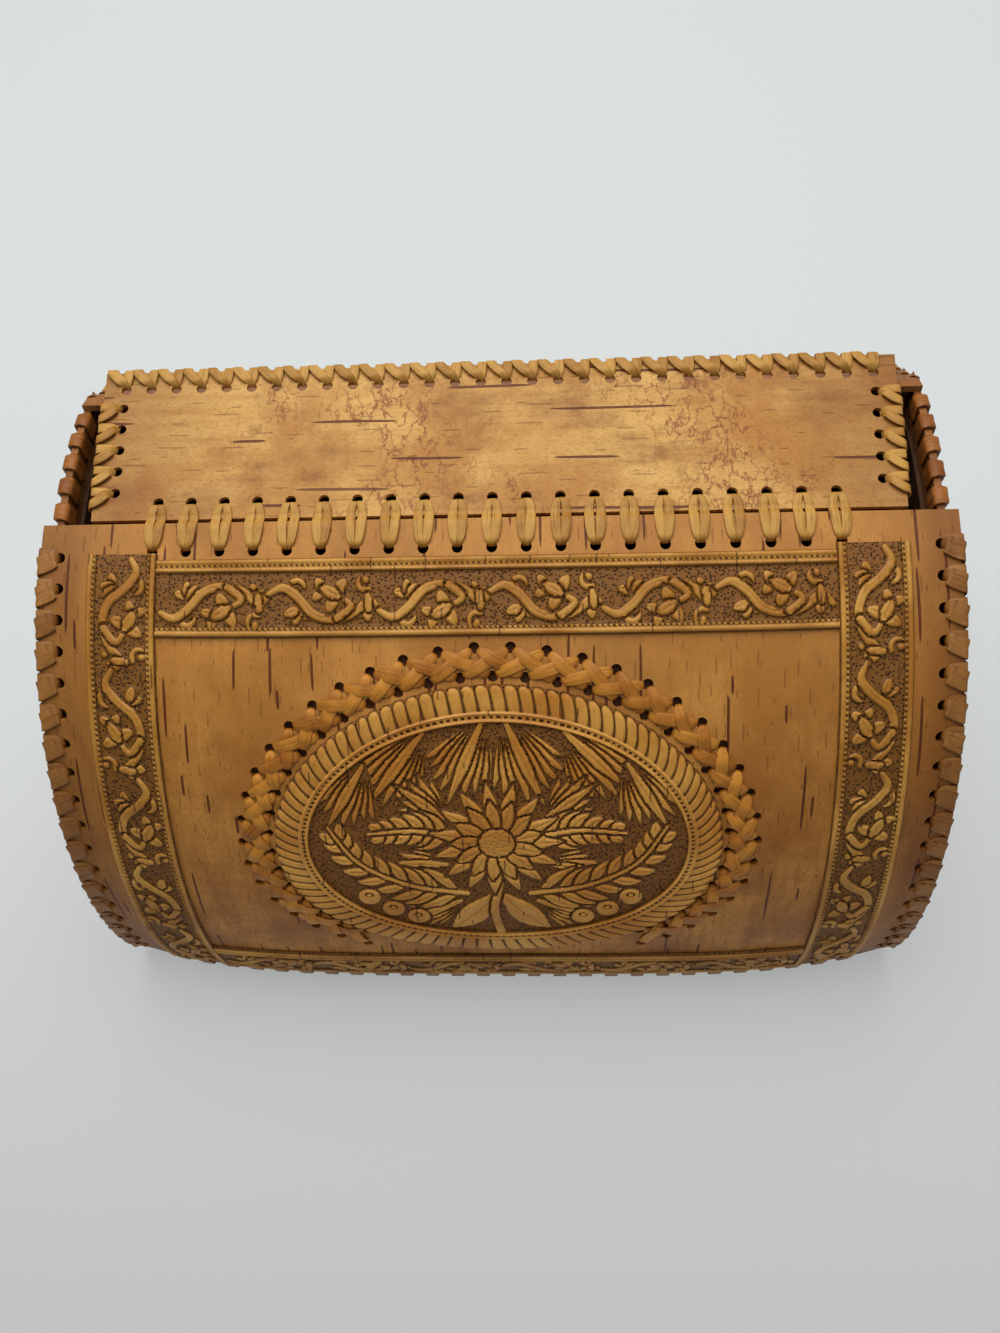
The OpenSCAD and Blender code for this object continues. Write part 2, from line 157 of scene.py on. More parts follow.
# %% Light and floor
world = bpy.data.worlds.new("room")
world.use_nodes = True
sky = world.node_tree.nodes["Background"]
sky.inputs["Color"].default_value = (0.93, 0.97, 1.0, 1)
sky.inputs["Strength"].default_value = 0.2
wall = world.node_tree.nodes.new("ShaderNodeBackground")
wall.inputs["Color"].default_value = (0.69, 0.73, 0.73, 1)
either = world.node_tree.nodes.new("ShaderNodeMixShader")
path = world.node_tree.nodes.new("ShaderNodeLightPath")
for a, b in ((path.outputs["Is Camera Ray"], either.inputs[0]),
             (sky.outputs[0], either.inputs[1]), (wall.outputs[0], either.inputs[2]),
             (either.outputs[0], world.node_tree.nodes["World Output"].inputs[0])):
    world.node_tree.links.new(a, b)
bpy.context.scene.world = world
bpy.context.scene.view_settings.view_transform = "Standard"


def soft_lamp(name, at, aim, size, watts, colour):
    lamp = bpy.data.lights.new(name, "AREA")
    lamp.shape = "DISK"
    lamp.size = size
    lamp.energy = watts
    lamp.color = colour
    holder = bpy.data.objects.new(name, lamp)
    bpy.context.collection.objects.link(holder)
    holder.location = at
    turn = (Vector(aim) - Vector(at)).to_track_quat("-Z", "Y")
    holder.rotation_euler = turn.to_euler()


soft_lamp("window", (-0.1, 0.32, 1.22), (0, 0, 0.08), 1.3, 13.2, (1, 0.985, 0.96))
soft_lamp("bounce", (0.5, -0.9, 0.7), (0, 0, 0.06), 0.8, 0.3, (1, 0.97, 0.93))

data = bpy.data.meshes.new("floor")
data.from_pydata([(-4, -4, 0), (4, -4, 0), (4, 4, 0), (-4, 4, 0)], [], [(0, 1, 2, 3)])
floor = bpy.data.objects.new("floor", data)
bpy.context.collection.objects.link(floor)
print("lamps: 2, and a pale sky")

# %% [markdown]
# ## Finishes
# A finish is a tree of small sums. Written as links between boxes, such a tree is hard to
# read, so one small class wraps what comes out of a node and lets it be added and
# multiplied like a number.

# %% A number that changes over a surface
def worked(operation, turned=False):
    """An operator that adds a Math node; turned swaps its two sides."""
    def work(self, other):
        terms = (other, self) if turned else (self, other)
        return self.finish.sum(operation, *terms)
    return work


class Amount:
    """What comes out of a node, used like a number."""
    __add__ = __radd__ = worked("ADD")
    __sub__, __rsub__ = worked("SUBTRACT"), worked("SUBTRACT", True)
    __mul__ = __rmul__ = worked("MULTIPLY")
    __truediv__, __pow__ = worked("DIVIDE"), worked("POWER")
    least, most = worked("MINIMUM"), worked("MAXIMUM")

    def __init__(self, finish, socket):
        self.finish, self.socket = finish, socket

    def other(self, out):
        """Another output of the same node."""
        return Amount(self.finish, self.socket.node.outputs[out])

    def size(self):
        return self.finish.sum("ABSOLUTE", self)

    def rise(self, low, high):
        """0 below low, 1 above high, and smooth between them."""
        return self.finish.node("MapRange", {"interpolation_type": "SMOOTHSTEP"},
                                {"Value": self, "From Min": low, "From Max": high})


print("operators: + - * / **")

# %% [markdown]
# A finish holds one material. Every node comes from its one method `node`, so settings,
# plain values and links are all given in the same way. Colours go through Mix, because
# a Math node would turn them grey.

# %% A finish: one material and its nodes
def paint(red, green, blue):
    """A colour picked on a screen, as the renderer's linear colour."""
    def linear(c):
        c /= 255
        return c / 12.92 if c <= 0.04045 else ((c + 0.055) / 1.055) ** 2.4
    return (linear(red), linear(green), linear(blue), 1)


class Finish:
    """A material whose nodes are made by the methods below."""

    def __init__(self, name, roughness=0.55, specular=0.35):
        self.material = bpy.data.materials.new(name)
        self.material.use_nodes = True
        self.tree = self.material.node_tree
        self.shader = self.tree.nodes["Principled BSDF"]
        self.shader.inputs["Roughness"].default_value = roughness
        self.shader.inputs["Specular IOR Level"].default_value = specular

    def node(self, kind, settings=None, inputs=None, out=0):
        made = self.tree.nodes.new("ShaderNode" + kind)
        for name, value in (settings or {}).items():
            setattr(made, name, value)
        for name, value in (inputs or {}).items():
            if isinstance(value, Amount):
                self.tree.links.new(value.socket, made.inputs[name])
            else:
                made.inputs[name].default_value = value
        return Amount(self, made.outputs[out])

    def sum(self, operation, *terms):
        return self.node("Math", {"operation": operation}, dict(enumerate(terms)))

    def mix(self, share, a, b, kind="MIX"):
        return self.node("Mix", {"data_type": "RGBA", "blend_type": kind},
                         {0: share, 6: a, 7: b}, 2)

    def noise(self, at, detail=3.0, rough=0.5, scale=1.0):
        return self.node("TexNoise", None, {"Vector": self.vector(*at), "Scale": scale,
                                            "Detail": detail, "Roughness": rough})

    def vector(self, a, b, c):
        return self.node("CombineXYZ", None, {0: a, 1: b, 2: c})

    def parts(self, vector):
        first = self.node("SeparateXYZ", None, {0: vector})
        return [first.other(k) for k in range(3)]

    def place(self):
        """The place on the piece, in millimetres."""
        return self.node("VectorMath", {"operation": "SCALE"},
                         {0: self.node("TexCoord", out="Object"), "Scale": 1000.0})

    def measure(self, name):
        """A number that the mesh carries at its points."""
        return self.node("Attribute", {"attribute_name": name}, out="Fac")

    def set(self, name, value):
        self.tree.links.new(value.socket, self.shader.inputs[name])

    def coat(self, share, tint, kind="MIX"):
        """Lay a colour over the colour so far."""
        self.colour = self.mix(share, self.colour, tint, kind)

    def done(self, roughness, height, depth_mm):
        """Colour, roughness and bump; height runs from 0 to 1 and stands for depth_mm."""
        self.set("Base Color", self.colour)
        self.set("Roughness", roughness)
        self.set("Normal", self.node("Bump", None, {
            "Height": height, "Distance": depth_mm * 0.001, "Strength": 0.8}))
        return self.material


print("a screen grey of 128 is %.3f in linear colour" % paint(128, 128, 128)[0])

# %% [markdown]
# ## Birch bark
# Birch bark is a smooth tan skin, crossed by long dark pores that all run one way. A
# sheet can be turned so that they run along the box or down it. The pores are drawn as
# spindles: the surface is cut into long random cells, and each cell holds one spindle
# with a length of its own. A picture could give the same look, but would blur close up
# and would belong to one box only.

# %% Ways to lay the bark's grain on a piece
def lay_flat(finish, across, along):
    """Grain along one axis of the box: 0 is X, 1 is Y and 2 is Z."""
    parts = finish.parts(finish.place())
    return parts[across], parts[along]


def lay_down_arch(finish):
    """Grain down the bent sheets."""
    x, y, z = finish.parts(finish.place())
    return x, finish.sum("ARCTAN2", y * -1.0, z - AXIS_Z) * SHEET_R


def lay_along_arch(finish):
    """Grain along the box on the bent sheets."""
    x, s = lay_down_arch(finish)
    return s, x


print("ways to lay the grain: 3")

# %% [markdown]
# The pores are cells of a stretched Voronoi pattern. Clouds, streaks, grain and flecks
# are noise of different lengths along and across the fibres, mixed over each other from
# coarse to fine, as they lie in the bark.

# %% Pores, clouds and flecks
def pores(finish, across, along, cell, width, length, seed):
    """Dark spindles, 1 on a pore and 0 off it. Sizes in millimetres."""
    wobble = finish.noise((across * 0.04, along * 0.015, seed), 1.0)
    across = across + wobble * 2.5
    at = finish.vector(across / cell[0], along / cell[1], seed)
    cells = finish.node("TexVoronoi", {"voronoi_dimensions": "2D"},
                        {"Vector": at, "Scale": 1.0}, "Position")
    centre, luck = finish.parts(cells), finish.parts(cells.other("Color"))
    here = finish.parts(at)
    off_a = (here[0] - centre[0]) * (cell[0] / width)
    reach = (luck[0] ** 1.4 * 0.8 + 0.2) * (length / cell[1])
    off_b = (here[1] - centre[1]) / reach
    round_it = off_a * off_a + (off_b * off_b) ** 2
    return (1 - round_it.rise(0.6, 1.0)) * luck[1].rise(0.18, 0.24)


def bark(name, lay, shades, cell, width, length, seed, roughness=0.55, stain=0.0,
         edge=None, wear=False, painted_top_light=None):
    """A bark finish. shades are dark, middle and pale; lay gives across and along.
    cell, width and length are those of the pores."""
    finish = Finish(name)
    across, along = lay(finish)

    def noise(fine_across, fine_along, shift, detail, rough=0.5):
        return finish.noise((across * fine_across, along * fine_along, seed + shift),
                            detail, rough)

    cloud = finish.noise((across, along, seed * 7.3), 4.0, 0.55, 0.035)
    streak = noise(0.35, 0.03, 0, 3.0, 0.6)
    grain = noise(2.6, 0.7, 0, 4.0, 0.65)
    fleck = noise(1.1, 0.5, 3, 2.0, 0.6)
    blotch = noise(0.045, 0.02, 6, 5.0, 0.65)
    dark, middle, pale = (paint(*shade) for shade in shades)
    finish.colour = finish.mix(cloud.rise(0.36, 0.64), middle, pale)
    for layer, low, high, share, tint in (
            (streak, 0.42, 0.75, 0.55, middle), (grain, 0.48, 0.76, 0.6, dark),
            (fleck, 0.58, 0.72, 0.45, dark), (blotch, 0.48, 0.7, 0.55, dark)):
        finish.coat(layer.rise(low, high) * share, tint)
    if stain:
        spots = noise(0.07, 0.05, 9, 5.0, 0.7)
        finish.coat(spots.rise(0.54, 0.74) * stain, paint(134, 66, 22))
    if wear:
        crack = noise(0.13, 0.2, 0, 3.5, 0.6)
        thin = 1 - ((crack - 0.5).size() * 34.0).least(1.0)
        where = noise(0.03, 0.025, 2, 2.0)
        finish.coat(thin * where.rise(0.5, 0.62) * 0.85, paint(136, 52, 14))
    # Painted light: the sheet is painted paler towards its upper edge, where more light
    # falls.
    if painted_top_light:
        finish.coat((1 - (along - FRONT_TOP * SHEET_R).rise(*painted_top_light)) * 0.45, pale)
    if edge:
        margin = finish.parts(finish.place())[0].size() + (cloud - 0.5) * 20.0
        finish.coat(margin.rise(*edge) * 0.5, dark)
    fine = pores(finish, across, along, (cell[0] * 0.5, cell[1] * 0.3), width * 0.5,
                 length * 0.22, seed + 5) * 0.45
    marks = pores(finish, across, along, cell, width, length, seed).most(fine)
    finish.coat(marks * 0.9, paint(94, 32, 6))
    return finish.done(cloud * 0.18 + grain * 0.22 + (roughness - 0.16),
                       grain * 0.35 + fleck * 0.2 + (1 - marks) * 0.45, 0.35)


print("layers under the pores: 4 to 9")

# %% [markdown]
# The flap is the palest and most worn sheet, the front is darker and has painted light
# that makes it pale only near its upper edge, and the linings are the brown inner side of
# the bark. The flap's two sheets are flat, so the construction model's own meshes take
# these finishes.

# %% The bark of each sheet
FLAP_SHADES = ((136, 76, 24), (198, 136, 58), (238, 186, 104))
FRONT_SHADES = ((108, 56, 12), (168, 102, 32), (218, 152, 70))
BODY_SHADES = ((92, 52, 22), (146, 90, 42), (174, 114, 58))
DARK_SHADES = ((52, 30, 18), (84, 52, 30), (104, 68, 42))

front_bark = bark("front bark", lay_down_arch, FRONT_SHADES, (7.2, 30), 0.4, 13, 1.0,
                  0.5, stain=0.35, edge=(107, 118), painted_top_light=(20, 120))
back_bark = bark("back bark", lay_along_arch, BODY_SHADES, (9, 40), 0.38, 14, 2.0,
                 stain=0.25)
flap_bark = bark("flap bark", lambda f: lay_flat(f, 1, 0), FLAP_SHADES, (11, 54), 0.46,
                 22, 3.0, 0.5, stain=0.6, edge=(70, 114), wear=True)
wall_bark = bark("end wall bark", lambda f: lay_flat(f, 2, 1), BODY_SHADES, (9, 40), 0.38,
                 14, 4.0, stain=0.25)
floor_bark = bark("floor bark", lambda f: lay_flat(f, 1, 0), BODY_SHADES, (9, 44), 0.4,
                  15, 5.0, stain=0.2)
lining_bark = bark("lining bark", lay_along_arch, DARK_SHADES, (9, 40), 0.35, 12, 6.0,
                   0.7)
for name, material in (("flap_panel", flap_bark), ("flap_lining", lining_bark)):
    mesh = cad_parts[name].data
    mesh.materials.clear()
    mesh.materials.append(material)
print("nodes in the flap's bark:", len(flap_bark.node_tree.nodes))

# %% [markdown]
# The floor is pale paper, with painted shade that darkens it towards the camera. Half of
# its colour is given to camera, glossy and transmission rays as light of its own, so that
# it looks pale from every side without more lamps on the box, and the other half still
# shows the box's shadow.

# %% The floor's paper
floor_paint = Finish("pale floor", 0.9, 0.1)
# Painted shade: the paper is painted darker towards the camera, where the room's light
# falls off.
far = floor_paint.parts(floor_paint.place())[1].rise(-420, 60)
paper_with_painted_shade = floor_paint.mix(far, paint(190, 189, 186), paint(226, 231, 231))
camera_ray = floor_paint.node("LightPath", out="Is Camera Ray")
seen = camera_ray + camera_ray.other("Is Glossy Ray")
seen = (seen + camera_ray.other("Is Transmission Ray")).least(1.0)
black = paint(0, 0, 0)
floor_paint.set("Base Color", floor_paint.mix(seen * 0.5, paper_with_painted_shade, black))
floor_paint.set("Emission Color", floor_paint.mix(seen * 0.5, black, paper_with_painted_shade))
floor_paint.shader.inputs["Emission Strength"].default_value = 1.0
floor.data.materials.append(floor_paint.material)
print("floor: half its own light, half lit")

# %% [markdown]
# ## The bent sheets and the floor
# Each sheet is one piece of bark about 2 mm thick with its lacing holes punched through.
# The construction model has these sheets already, so all but the flap's are copies of
# its meshes, cut into narrower strips so that they can bow. Drawing them again would
# risk holes that no longer meet the lacing.

# %% Sheets that bow
def dress(name, data, finish, nodes, body="box", sharp=50):
    """Make a mesh a piece of the box, in place of nodes of the construction model."""
    data.materials.clear()
    data.materials.append(finish)
    data.shade_smooth()
    data.set_sharp_from_angle(angle=math.radians(sharp))
    piece = bpy.data.objects.new(name, data)
    bpy.context.collection.objects.link(piece)
    if body:
        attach(piece, body)
    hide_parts(*nodes)
    return piece


def cut_across(shape, way, places):
    """Cut a mesh square to one direction, at places in millimetres."""
    for place in places / 1000:
        bmesh.ops.bisect_plane(shape, geom=shape.verts[:] + shape.edges[:] + shape.faces[:],
                               plane_co=Vector(way) * place, plane_no=way)


def bowed_copy(name, finish, reach=None):
    """A copy of a construction piece, cut finely enough to bow. reach may move points
    before that."""
    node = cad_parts[name]
    shape = bmesh.new()
    shape.from_mesh(node.data)
    shape.transform(node.matrix_world)
    if reach:
        for vert in shape.verts:
            vert.co = Vector(reach(np.array(vert.co) * 1000)) / 1000
    cut_across(shape, (1, 0, 0), np.arange(-116, 120, 8))
    if name.startswith("floor"):
        cut_across(shape, (0, 1, 0), np.arange(-100, -20, 10))
    data = bpy.data.meshes.new(name + "_bark")
    shape.to_mesh(data)
    shape.free()
    at = np.empty(len(data.vertices) * 3)
    data.vertices.foreach_get("co", at)
    data.vertices.foreach_set("co", (bowed(at.reshape(-1, 3) * 1000) / 1000).ravel())
    dress(name + "_bark", data, finish, [name], sharp=32)


def longer(p):
    """The front's upper edge comes 1 mm nearer to the flap, so that the crease closes."""
    angle = math.atan2(-p[1], p[2] - AXIS_Z)
    radius = math.hypot(p[1], p[2] - AXIS_Z)
    if angle < FRONT_TOP + 0.004:
        angle -= 1.0 / SHEET_R
    return on_arch(p[0], angle, radius)


for sheet, finish, slot, reach in (("front_panel", front_bark, "front_bark", longer),
                                   ("floor_panel", floor_bark, "body_bark", None),
                                   ("back_panel", back_bark, "body_bark", None),
                                   ("end_wall_left", wall_bark, "body_bark", None),
                                   ("end_wall_right", wall_bark, "body_bark", None)):
    bowed_copy(sheet, finish, reach)
    lining = sheet.replace("_panel", "_lining").replace("_wall", "_lining")
    bowed_copy(lining, lining_bark)
print("bow at the foot: %.1f mm" % -(on_front(0, FRONT_LEN, 0)[1] + FOOT_R))

# %% [markdown]
# ## Carving in low relief
# The bands and the medallion are thin bark worked with a knife and small punches: the
# pattern stands golden above a darker, stippled ground. Each is made as a fine net of
# points whose heights come from strokes, as a carver's cuts do. A stroke first sinks a
# narrow gap round itself, so that leaves lie clear of each other where they cross. A
# bump alone would look painted when the light falls along the sheet.

# %% Strokes and heights
def smooth(points, steps=6):
    """A smooth curve through the points."""
    p = np.asarray(points, float)
    q = np.vstack([2 * p[0] - p[1], p, 2 * p[-1] - p[-2]])
    t = np.linspace(0, 1, steps, endpoint=False)[:, None]
    out = []
    for i in range(1, len(q) - 2):
        a, b, c, d = q[i - 1:i + 3]
        out.append(0.5 * (2 * b + (c - a) * t + (2 * a - 5 * b + 4 * c - d) * t ** 2
                          + (3 * b - a - 3 * c + d) * t ** 3))
    return np.vstack(out + [p[-1:]])


class Carving:
    """Heights from 0 to 1 on a flat net of points, in millimetres."""

    def __init__(self, low, high, step=0.4):
        counts = [int(round((b - a) / step)) + 1 for a, b in zip(low, high)]
        self.a, self.b = (np.linspace(lo, hi, n) for lo, hi, n in zip(low, high, counts))
        self.height = np.zeros((len(self.a), len(self.b)))

    def off_side(self, track, reach):
        """The window round a curve, and how far off the curve's side its points are.
        track holds the curve's places and half widths."""
        low, high = track[:, :2].min(0) - reach, track[:, :2].max(0) + reach
        window = (slice(*np.searchsorted(self.a, (low[0], high[0]))),
                  slice(*np.searchsorted(self.b, (low[1], high[1]))))
        a, b = np.meshgrid(self.a[window[0]], self.b[window[1]], indexing="ij")
        off = np.full(a.shape, 9.0)
        for p, q in zip(track[:-1], track[1:]):
            along = q[:2] - p[:2]
            t = ((a - p[0]) * along[0] + (b - p[1]) * along[1]) / (along @ along + 1e-9)
            t = np.clip(t, 0, 1)
            here = np.hypot(a - p[0] - t * along[0], b - p[1] - t * along[1])
            off = np.minimum(off, here - (p[2] + t * (q[2] - p[2])))
        return window, off

    def stroke(self, points, widths, top=1.0, gap=0.45, steps=4):
        """A rounded ridge along a curve; widths is the half width at each point."""
        track = smooth(np.column_stack([points, widths]), steps)
        widest = track[:, 2].max()
        window, off = self.off_side(track, widest + gap + 0.6)
        sunk = np.clip((off - gap) / 0.4 + (off < 0) * 9, 0, 1)
        ridge = np.clip(-off / np.clip(widest, 0.4, 0.9), 0, 1)
        self.height[window] = np.maximum(np.minimum(self.height[window], sunk),
                                         top * np.sqrt(ridge * (2 - ridge)))

    def vein(self, points, width=0.3, depth=0.45):
        """A fine cut along a curve, where the bark is raised."""
        track = smooth(np.column_stack([points, np.zeros(len(points))]), 3)
        window, off = self.off_side(track, width + 0.4)
        cut = depth * np.clip(1 - off / width, 0, 1)
        self.height[window] -= cut * (self.height[window] > 0.3)

    def leaf(self, at, angle, length, half, bend=0.0):
        """A pointed leaf with one vein."""
        ways = angle + np.array([0, 0.3 * bend, bend])
        steps = np.array([0, 0.5, 0.5]) * length
        spots = np.cumsum(np.stack([steps * np.cos(ways), steps * np.sin(ways)], 1), 0) + at
        self.stroke(spots, (half * 0.45, half, 0.12))
        self.vein(spots, 0.26)

    def curl(self, at, angle, radius, turns, hand, half):
        """A tendril that winds in on itself and ends in a bead."""
        t = np.linspace(0, 1, 12)
        way = angle + hand * turns * 2 * np.pi * t
        step = radius * (1 - 0.82 * t) * turns * 2 * np.pi / 11
        spots = np.cumsum(np.stack([step * np.cos(way), step * np.sin(way)], 1), 0) + at
        self.stroke(spots, half * (1 - 0.45 * t), steps=2)
        self.stroke(spots[-2:], (half * 1.05, half * 1.05))


print("a carving of 10 x 10 mm holds %d heights" % Carving((0, 0), (10, 10)).height.size)

# %% [markdown]
# The vine of the borders swings from side to side. Each swing has a stem with a cut
# along it, a shoot with three leaves, more leaves, two curls and a knot, so one function
# with a seed draws all four bands.

# %% A vine
def vine(carving, start, end, middle, swing, seed):
    """A scrolling vine with knots, curls and threes of leaves along the first axis."""
    rng = np.random.default_rng(seed)
    count = max(2, int(round((end - start) / 30)))
    span = (end - start) / count
    for i in range(count):
        x0, hand = start + i * span, 1 if i % 2 else -1

        def spot(along, up):
            return np.array((x0 + span * along, middle + hand * swing * up))

        carving.curl(spot(0.17, -0.75), -hand * 1.4, 2.6, 0.85, hand, 0.95)
        carving.curl(spot(0.93, -0.95), hand * 2.5, 2.5, 0.85, hand, 0.9)
        for at, way, turns, length, half, bend in (
                ((0.26, 0.35), hand * 1.75, (-0.9, 0.0, 0.8), 4.6, 1.45, 0.4),
                ((0.5, -0.75), math.pi + hand * 0.3, (-0.8, 0.5), 4.4, 1.4, 0.3),
                ((0.86, 0.25), hand * 0.9, (-0.7, 0.3), 4.4, 1.4, 0.4)):
            for turn in turns:
                carving.leaf(spot(*at), way + turn, length, half, bend * turn)
        rise = [spot(0.26, -0.3), spot(0.4, 0.75), spot(0.58, 1.05), spot(0.76, 0.7)]
        carving.stroke([spot(0.0, -0.6), spot(0.12, -0.95), *rise, spot(0.9, -0.1),
                        spot(1.0, 0.6)], (0.9, 1.2, 1.3, 1.3, 1.3, 1.2, 1.1, 0.9))
        carving.vein([spot(0.12, -0.9), *rise, spot(0.88, 0.0)], 0.3, 0.35)
        shoot = [spot(0.62, 0.95), spot(0.74, 0.2), spot(0.62, -0.35)]
        carving.stroke(shoot, (1.1, 1.0, 0.8))
        for turn in (-1.15, 1.15, 0.0):
            carving.leaf(shoot[-1], math.pi + hand * (0.5 + turn), 5.4, 1.7,
                         0.5 * turn * hand)
        knot = spot(0.9, 0.0) + rng.uniform(-0.2, 0.2, 2)
        carving.stroke([knot - (0.2, 1.6), knot + (0.2, 1.6)], (1.0, 1.0), 1.0, 0.3)
    print("swings of a vine:", count)


# %% [markdown]
# A net of points becomes a mesh with four-sided faces. The heights also go into the mesh
# as numbers on its points, so the finish knows what is raised and what is ground.

# %% From numbers to a piece
def make_piece(name, points, faces, finish, nodes, marks, body="box"):
    """A piece from points in millimetres; marks are numbers on its points."""
    data = bpy.data.meshes.new(name)
    data.from_pydata((np.asarray(points) / 1000).tolist(), [],
                     [list(map(int, f)) for f in faces])
    for mark, values in marks.items():
        layer = data.attributes.new(mark, "FLOAT", "POINT")
        layer.data.foreach_set("value", np.asarray(values, np.float32).ravel())
    return dress(name, data, finish, nodes, body)


def net_faces(n, m, around=False):
    """Faces of a net of n by m points; around closes it in its first direction."""
    i, j = np.meshgrid(np.arange(n if around else n - 1), np.arange(m - 1), indexing="ij")
    i, j = i.ravel(), j.ravel()
    k = (i + 1) % n
    return np.stack([i * m + j, k * m + j, k * m + j + 1, i * m + j + 1], 1)


print("a net of 3 x 3 points has", len(net_faces(3, 3)), "faces")

# %% The finish of carved bark
def carved_bark(name, shades, seed):
    """Stippled dark ground, golden raised parts and painted shade on their slopes."""
    finish = Finish(name)
    ground, deep, gold, light = (paint(*shade) for shade in shades)
    x, s = lay_down_arch(finish)
    up = finish.measure("carving")
    cloud = finish.noise((x, s, seed), scale=0.05)
    grain = finish.noise((x * 1.6, s * 0.5, seed), 4.0, 0.6)
    dots = finish.node("TexVoronoi", None, {"Vector": finish.vector(x, s, seed),
                                            "Scale": 1.25}).rise(0.18, 0.5)
    finish.colour = finish.mix(cloud.rise(0.35, 0.68), gold, light)
    finish.coat(grain.rise(0.5, 0.75) * 0.5, gold, "MULTIPLY")
    raised = up.rise(0.12, 0.62)
    finish.colour = finish.mix(raised, finish.mix(dots, deep, ground), finish.colour)
    # Painted shade: the slopes round the raised parts and the cuts in them are painted
    # darker, as shade in the relief.
    rim = up.rise(0.05, 0.3) * (1 - up.rise(0.3, 0.75))
    finish.coat(rim * 0.72, deep)
    finish.coat(pores(finish, x, s, (7.5, 15), 0.26, 4.5, seed + 4) * 0.7,
                paint(70, 26, 6))
    return finish.done(0.62 - raised * 0.16,
                       raised * (grain * 0.35 + 0.2) + (1 - raised) * dots * 0.6, 0.4)


band_bark = carved_bark("carved band bark", ((140, 90, 30), (50, 26, 4), (184, 122, 40),
                                             (222, 164, 74)), 1.0)
medallion_bark = carved_bark("carved medallion bark", (
    (140, 88, 30), (54, 28, 4), (204, 134, 48), (238, 176, 82)), 2.0)
print("carved finishes: 2")

# %% [markdown]
# ## The four border bands
# Each band is one strip of thinner bark glued to the front. Its edges carry a raised
# bead and a row of tiny punch marks, and a vine scrolls between them. The vine is drawn
# along the band and then laid on the bowed sheet, so an upright band is the same work
# turned through a quarter.

# %% Bands
def band(name, along, across, upright, ornament, seed):
    """A carved band. along and across are its ends in millimetres on the sheet."""
    carving = Carving((along[0], across[0]), (along[1], across[1]))
    a, b = carving.a, carving.b
    low, high = ornament
    middle, half = (low + high) / 2, (high - low) / 2
    vine(carving, along[0] + 1.5, along[1] - 1.5, middle, half * 0.62, seed)
    carving.height *= (b > low - 0.2) & (b < high + 0.2)
    for edge, way in ((across[0], 1), (across[1], -1)):
        for off, half_bead in ((0.9, 0.75), (3.1, 0.55)):
            if abs(edge + way * off - middle) > half + 0.4:
                bead = 1 - ((b - edge - way * off) / half_bead) ** 2
                carving.height = np.maximum(carving.height, np.sqrt(np.clip(bead, 0, 1)))
        if abs(edge - middle) > half + 2.15:
            off = np.abs(b - edge - way * 2.0)
            punched = 0.55 + 0.45 * np.sin(a * 2 * np.pi / 1.5)[:, None] * (off < 0.3)
            carving.height = np.where(off < 0.5, np.maximum(carving.height, punched),
                                      carving.height)
    lift = 0.55 + 0.95 * carving.height
    grid_a, grid_b = np.meshgrid(a, b, indexing="ij")
    x, s = (grid_b, grid_a) if upright else (grid_a, grid_b)
    top = on_front(x, s, lift).reshape(-1, 3)
    n, m = len(a), len(b)
    ring = np.concatenate([np.arange(m), np.arange(1, n) * m + m - 1,
                           (n - 1) * m + np.arange(m - 2, -1, -1),
                           np.arange(n - 2, 0, -1) * m])
    under = on_front(x.ravel()[ring], s.ravel()[ring], 0.12)
    edge = n * m + np.arange(len(ring))
    skirt = np.stack([ring, edge, np.roll(edge, -1), np.roll(ring, -1)], 1)
    # The band's sides carry 0.5, so the finish paints them with the painted shade of a
    # slope.
    marks = np.concatenate([carving.height.ravel(), np.full(len(ring), 0.5)])
    make_piece("carved_" + name, np.vstack([top, under]),
               np.vstack([net_faces(n, m), skirt]), band_bark, [name],
               {"carving": marks})
    print("%s: %d points" % (name, len(marks)))


band("band_top", (-91.6, 91.6), (9.4, 29.8), False, (14.4, 27.6), 1)
band("band_bottom", (-91.6, 91.6), (139.6, 159.6), False, (143.6, 156.6), 2)
band("band_right", (7.8, 159.6), (91.8, 111.2), True, (94.2, 108.8), 3)
band("band_left", (7.8, 159.6), (-111.2, -91.8), True, (-108.8, -94.2), 4)

# %% [markdown]
# ## The medallion
# An oval plate of bark with a rim of rounded feathers, a beaded ring inside it, and a
# sunk field with a plant carved in it. The rim is a net bent round the oval, so each
# feather has its own end. The field is a plain net whose edge lies hidden under the
# rim. The plant is a design of its own: a daisy between two ferns, with fans of narrow
# leaves above, and berries and broad leaves below.

# %% The rim of feathers
MED_X, MED_S = 0.0, 87.28           # the oval's middle on the sheet
MED_HALF_X, MED_HALF_S = 62.5, 45.18
RIM, BEADED = 9.6, 2.7              # width of the rim, and of the beaded ring in it
FEATHERS = 92


